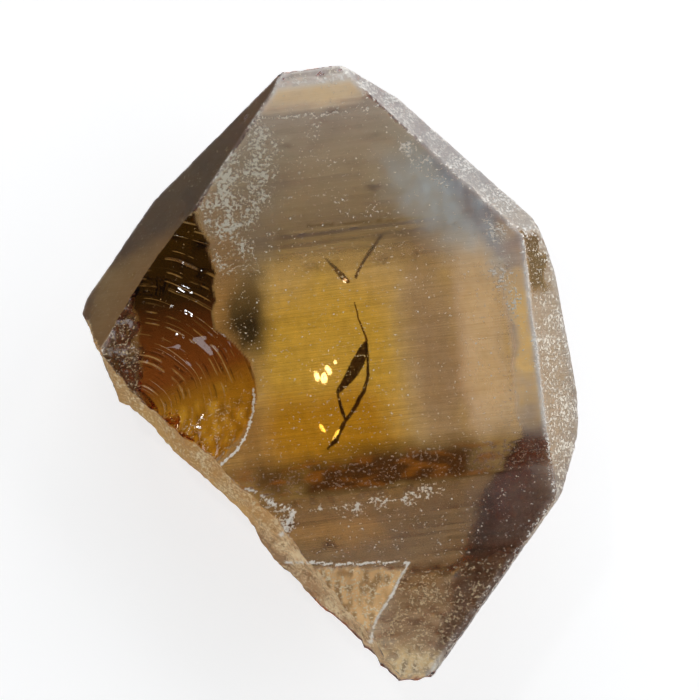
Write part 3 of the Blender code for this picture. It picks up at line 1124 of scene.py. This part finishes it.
# %% See-through, gloss, relief and absorption
# Etching and milk scatter light, so there the skin is rough and nearly opaque
WHITE_HIDES = 0.85  # share of the light that full milk or a fleck keeps back
WHITE_ROUGHNESS = 0.3
RIDGE, PIT = 0.06 * MM, 0.25 * MM
ABSORPTION_COLOUR = "#EDCB00"
ABSORPTION_PER_METRE = 50
white = add_node(tree, "Math", [etched, painted["milk"]], operation="MAXIMUM")
see_through = add_node(tree, "Math", [white, -WHITE_HIDES, 1.0], operation="MULTIPLY_ADD")
rough = add_node(tree, "Math", [white, WHITE_ROUGHNESS, painted["haze"]], operation="MULTIPLY_ADD")
level = add_node(tree, "Math", [grain["growth_line"], painted["lined"]], operation="MULTIPLY")
ridges = add_node(tree, "Bump", {"Height": level, "Strength": 0.5, "Distance": RIDGE})
pitted = add_node(tree, "Bump", {
    "Height": etched, "Strength": 0.6, "Distance": PIT, "Normal": ridges})
feed(tree.nodes["Principled BSDF"], {
    "Base Color": colour.outputs[2], "IOR": QUARTZ_IOR, "Transmission Weight": see_through,
    "Roughness": rough, "Normal": pitted})
absorption = add_node(tree, "VolumeAbsorption", {
    "Color": to_linear(ABSORPTION_COLOUR), "Density": ABSORPTION_PER_METRE})
feed(tree.nodes["Material Output"], {"Volume": absorption})
crystal.data.materials.clear()
crystal.data.materials.append(quartz)
print("quartz with", len(tree.nodes), "nodes")

# %% [markdown]
# ## Sealed inside: a healed crack
#
# A crack opened while the crystal was still growing and healed. It shows as a dark curved
# sliver with two strands that close in a loop, a faint V above it, and a few flakes of
# trapped air that flash like gold leaf. Most of that dark is light that the thin gap mirrors
# away; here it is painted shade, a dark film in the crack. The flashes are painted glints:
# the flakes glow. A real film is a few hundredths of a millimetre thick. Here each strand is
# a sheet primitive bent along its run and made solid with a Solidify modifier, thick enough
# to keep both sides apart.

# %% Sheets of film
FILM_THICKNESS = 0.12 * MM
FILM_WAVES = 0.25  # mm
LOOK_ALONG = 0.02  # of the run, to either side, for the way it heads


def film_strand(name, run, widths, depth, hang):
    """A thin strip along run (x, y in mm), widths across it, hanging hang mm deep."""
    deselect_all()
    bpy.ops.mesh.primitive_grid_add(x_subdivisions=8 * (len(run) - 1), y_subdivisions=4, size=2)
    strand = bpy.context.object
    strand.name = name
    knots = np.array(run, dtype=float)
    at = np.linspace(0, 1, len(run))

    def on_run(share):
        return np.array([np.interp(share, at, knots[:, i]) for i in (0, 1)])

    for vertex in strand.data.vertices:
        share, across = (vertex.co.x + 1) / 2, vertex.co.y
        heading = on_run(min(1, share + LOOK_ALONG)) - on_run(max(0, share - LOOK_ALONG))
        heading /= np.linalg.norm(heading)
        side = np.array([heading[1], -heading[0]])
        width = np.interp(share, np.linspace(0, 1, len(widths)), widths)
        place = on_run(share) + side * across * width / 2
        wave = FILM_WAVES * noise.noise(Vector((*place, depth)) / 2.5)
        vertex.co = to_frame([*(place + side * wave), depth + wave + across * hang / 2])
    solid = strand.modifiers.new("film", "SOLIDIFY")
    solid.thickness = FILM_THICKNESS
    solid.offset = 0
    bpy.ops.object.modifier_apply(modifier=solid.name)
    bpy.ops.object.shade_smooth_by_angle(angle=radians(40))
    return strand


print("film", FILM_THICKNESS / MM, "mm thick")

# %% Material of the film
FILM_IOR = 1.05  # set against quartz: a thin film hardly bends what crosses it
FILM_MOTTLE = 0.7 * MM
THIN_PLACES = 2.2  # how much paler the film is where it is thin


def film_material(name, hex_colour, see_through, roughness, glow=0.0):
    """Crack film: dark, uneven and partly see-through; the dark is painted shade, and glow paints a
    glint.
    """
    material, tree = new_material(name)
    colour = to_linear(hex_colour)
    place = add_node(tree, "TexCoord").outputs["Object"]
    mottle = add_node(tree, "TexNoise", {"Vector": place, "Scale": 1 / FILM_MOTTLE, "Detail": 3.0})
    ramp = add_node(tree, "ValToRGB", {"Fac": mottle})
    dark, pale = ramp.color_ramp.elements
    dark.position, dark.color = 0.35, colour
    pale.position, pale.color = 0.7, [min(1, THIN_PLACES * c) for c in colour]
    feed(tree.nodes["Principled BSDF"], {
        "Base Color": ramp, "Transmission Weight": see_through, "Roughness": roughness,
        "IOR": FILM_IOR, "Emission Color": colour, "Emission Strength": glow})
    return material


# The films' dark colours are painted shade for the crack's thin gap, which mirrors light away
dark_crack_film_shade = film_material("crack_film_painted_shade", "#584A44", 0.6, 0.3)
thin_crack_film_shade = film_material("thin_crack_film_painted_shade", "#7A6448", 0.75, 0.25)
print("materials:", dark_crack_film_shade.name, "and", thin_crack_film_shade.name)

# %% Hang the strands
STRANDS = (  # name, material, run, widths, depth over the axis, hang
    ("sliver", dark_crack_film_shade, [(9.2, 7.6), (8.2, 5.4), (6.4, 2.4), (4.2, -0.6), (1.6, -3.2),
     (0.4, -4.2)], (0.5, 2.2, 3.0, 2.6, 1.6, 0.5), 9, 1.2),
    ("right_strand", dark_crack_film_shade, [(9.3, 7.0), (8.9, 3.4), (8.6, -0.9), (7.2, -4.4), (5.0, -7.6),
     (2.0, -11.0), (-1.4, -15.8), (-3.6, -17.6)], (0.4, 0.6, 0.7, 0.8, 0.9, 0.9, 1.2, 0.3), 8, 2.0),
    ("left_strand", dark_crack_film_shade, [(0.6, -4.6), (1.0, -7.4), (1.2, -9.2), (1.7, -10.8)],
     (0.6, 0.7, 0.8, 0.5), 8.5, 1.6),
    ("neck", thin_crack_film_shade, [(7.4, 17.2), (8.0, 13.0), (8.8, 9.6), (9.2, 7.4)],
     (0.2, 0.3, 0.4, 0.5), 10, 1.2),
    ("v_left", thin_crack_film_shade, [(1.5, 28.6), (3.6, 26.2), (5.4, 23.6), (6.8, 22.2)],
     (0.2, 0.8, 1.4, 0.8), 11, 1.0),
    ("v_right", thin_crack_film_shade, [(8.4, 23.0), (10.2, 26.0), (13.2, 29.4), (16.2, 32.8)],
     (0.6, 0.5, 0.8, 0.3), 11, 1.0),
)
for name, material, *shape in STRANDS:
    strand = film_strand(f"crack_{name}", *shape)
    strand.data.materials.append(material)
    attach(strand, "root")
print(len(STRANDS), "strands of film")

# %% Flakes that glow as painted glints
FLAKES = (  # middle (x, y, over the axis), half sizes, turn
    ((-3.9, 0.3, 6), (0.55, 1.1, 0.25), 10),
    ((-2.2, -0.3, 6), (0.7, 1.3, 0.25), -8),
    ((-0.9, 1.5, 6), (0.6, 1.2, 0.25), 20),
    ((1.0, 3.3, 6), (0.35, 0.45, 0.2), 0),
    ((-4.1, -12.4, 6), (0.35, 1.1, 0.25), 35),
    ((-0.9, -14.2, 9), (0.3, 1.6, 0.2), -38),
    ((5.8, 22.7, 11), (0.45, 0.6, 0.2), 40),
)
# Trapped air mirrors like metal; these flakes glow instead, a painted glint for the flash that it
# sends straight up
FLAKE_RAGGEDNESS = 0.35
flash = film_material("trapped_air_flake_painted_glint", "#FFF0FF", 0.15, 0.25, glow=2.4)
for number, (middle, half, turn) in enumerate(FLAKES, 1):
    deselect_all()
    bpy.ops.mesh.primitive_ico_sphere_add(subdivisions=3, radius=1)
    flake = bpy.context.object
    flake.name = f"flake_{number}"
    spin = Matrix.Rotation(radians(turn), 3, "Z")
    for vertex in flake.data.vertices:
        ragged = 1 + FLAKE_RAGGEDNESS * noise.noise(vertex.co * 1.4 + Vector((number, 0, 0)))
        stretched = Vector([c * h * ragged for c, h in zip(vertex.co, half)])
        vertex.co = Vector(to_frame(np.array(spin @ stretched) + middle))
    flake.data.materials.append(flash)
    bpy.ops.object.shade_smooth_by_angle(angle=radians(60))
    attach(flake, "root")
print(len(FLAKES), "flakes")

# %% [markdown]
# ## Floor and light
#
# A clear stone shows what lies behind it, so it rests on a light table: a plain opal floor
# that glows evenly. Soft boxes at the right, the point and the foot light the milky and the
# broken parts. They stand low, so that the front face doesn't mirror them upwards. A small
# lamp gives the sharp glints on the ripples.
#
# The steep sides would mirror the glowing table as a pale veil. On a real light table a
# polarising filter takes that out, and so do we: a ray whose last turn was a reflection sees
# a much dimmer table than a ray that came through the stone. The sky stays dim, because in
# an evenly white room every facet shows the same white.

# %% Lay the floor
# Opal acrylic: a matt white sheet that spreads the light from below evenly
TABLE_GLOW, TABLE_PALENESS = 0.74, 0.45
TABLE_GLARE_CUT = 0.85  # what a polarising filter takes out of the table's mirror image
FLOOR_WIDTH = 4.0  # metres
FLOOR_GAP = 0.2 * MM  # keeps the floor off the plane that the model stands on
bpy.ops.mesh.primitive_plane_add(size=FLOOR_WIDTH, location=(0, 0, -FLOOR_GAP))
floor = bpy.context.object
floor.name = "floor"
bpy.ops.object.transform_apply(location=True)
opal, tree = new_material("opal_light_table")
ray = add_node(tree, "LightPath")
mirrored = add_node(tree, "Math", [ray.outputs["Is Glossy Ray"],
                                   ray.outputs["Is Transmission Ray"]],
                    operation="SUBTRACT", use_clamp=True)
glow, paleness = (
    add_node(tree, "Math", [mirrored, -TABLE_GLARE_CUT * full, full], operation="MULTIPLY_ADD")
    for full in (TABLE_GLOW, TABLE_PALENESS)
)
feed(tree.nodes["Principled BSDF"], {
    "Base Color": paleness, "Roughness": 0.6, "Emission Color": (1, 1, 1, 1),
    "Emission Strength": glow})
floor.data.materials.append(opal)
print("floor", round(floor.dimensions.x, 2), "m wide")

# %% Hang the soft boxes
BOX_COLOUR = "#F6FAFF"
BOXES = (  # name, place, width and height, radiance
    ("right_box", (1.15, 0.35, 0.62), (1.1, 0.9), 3.2),
    ("point_box", (0.15, 1.15, 0.64), (1.1, 0.9), 3.2),
    ("foot_box", (-0.45, -1.15, 0.30), (1.2, 0.5), 3.2),
    ("glint_lamp", (-0.30, 0.50, 1.15), (0.08, 0.08), 60.0),
)
for name, place, (width, height), radiance in BOXES:
    lamp = bpy.data.lights.new(name, "AREA")
    lamp.shape = "RECTANGLE"
    lamp.size, lamp.size_y = width, height
    lamp.energy = pi * radiance * width * height
    lamp.color = to_linear(BOX_COLOUR)[:3]
    box = bpy.data.objects.new(name, lamp)
    bpy.context.scene.collection.objects.link(box)
    box.location = place
    box.rotation_euler = (-Vector(place)).to_track_quat("-Z", "Y").to_euler()
print(len(BOXES), "lamps")

# %% Dim the sky
SKY_LOW, SKY_HIGH = 0.03, 0.04
world = bpy.data.worlds.new("dim_sky")
bpy.context.scene.world = world
world.use_nodes = True
tree = world.node_tree
way = add_node(tree, "TexCoord").outputs["Generated"]
up = add_node(tree, "SeparateXYZ", [way])
glow = add_node(tree, "ValToRGB", {"Fac": up.outputs["Z"]})
low, high = glow.color_ramp.elements
low.color = (SKY_LOW, SKY_LOW, SKY_LOW, 1)
high.position, high.color = 0.6, (SKY_HIGH, SKY_HIGH, SKY_HIGH, 1)
feed(tree.nodes["Background"], {"Color": glow})
print("sky from", SKY_LOW, "to", SKY_HIGH)

# %% [markdown]
# ## Finish
#
# Light meets many faces inside a clear stone, so the paths get room for many bounces. The
# Standard view keeps the white floor white.

# %% Render settings
BOUNCES = 24
scene = bpy.context.scene
scene.view_settings.view_transform = "Standard"
scene.cycles.max_bounces = BOUNCES
scene.cycles.transmission_bounces = BOUNCES
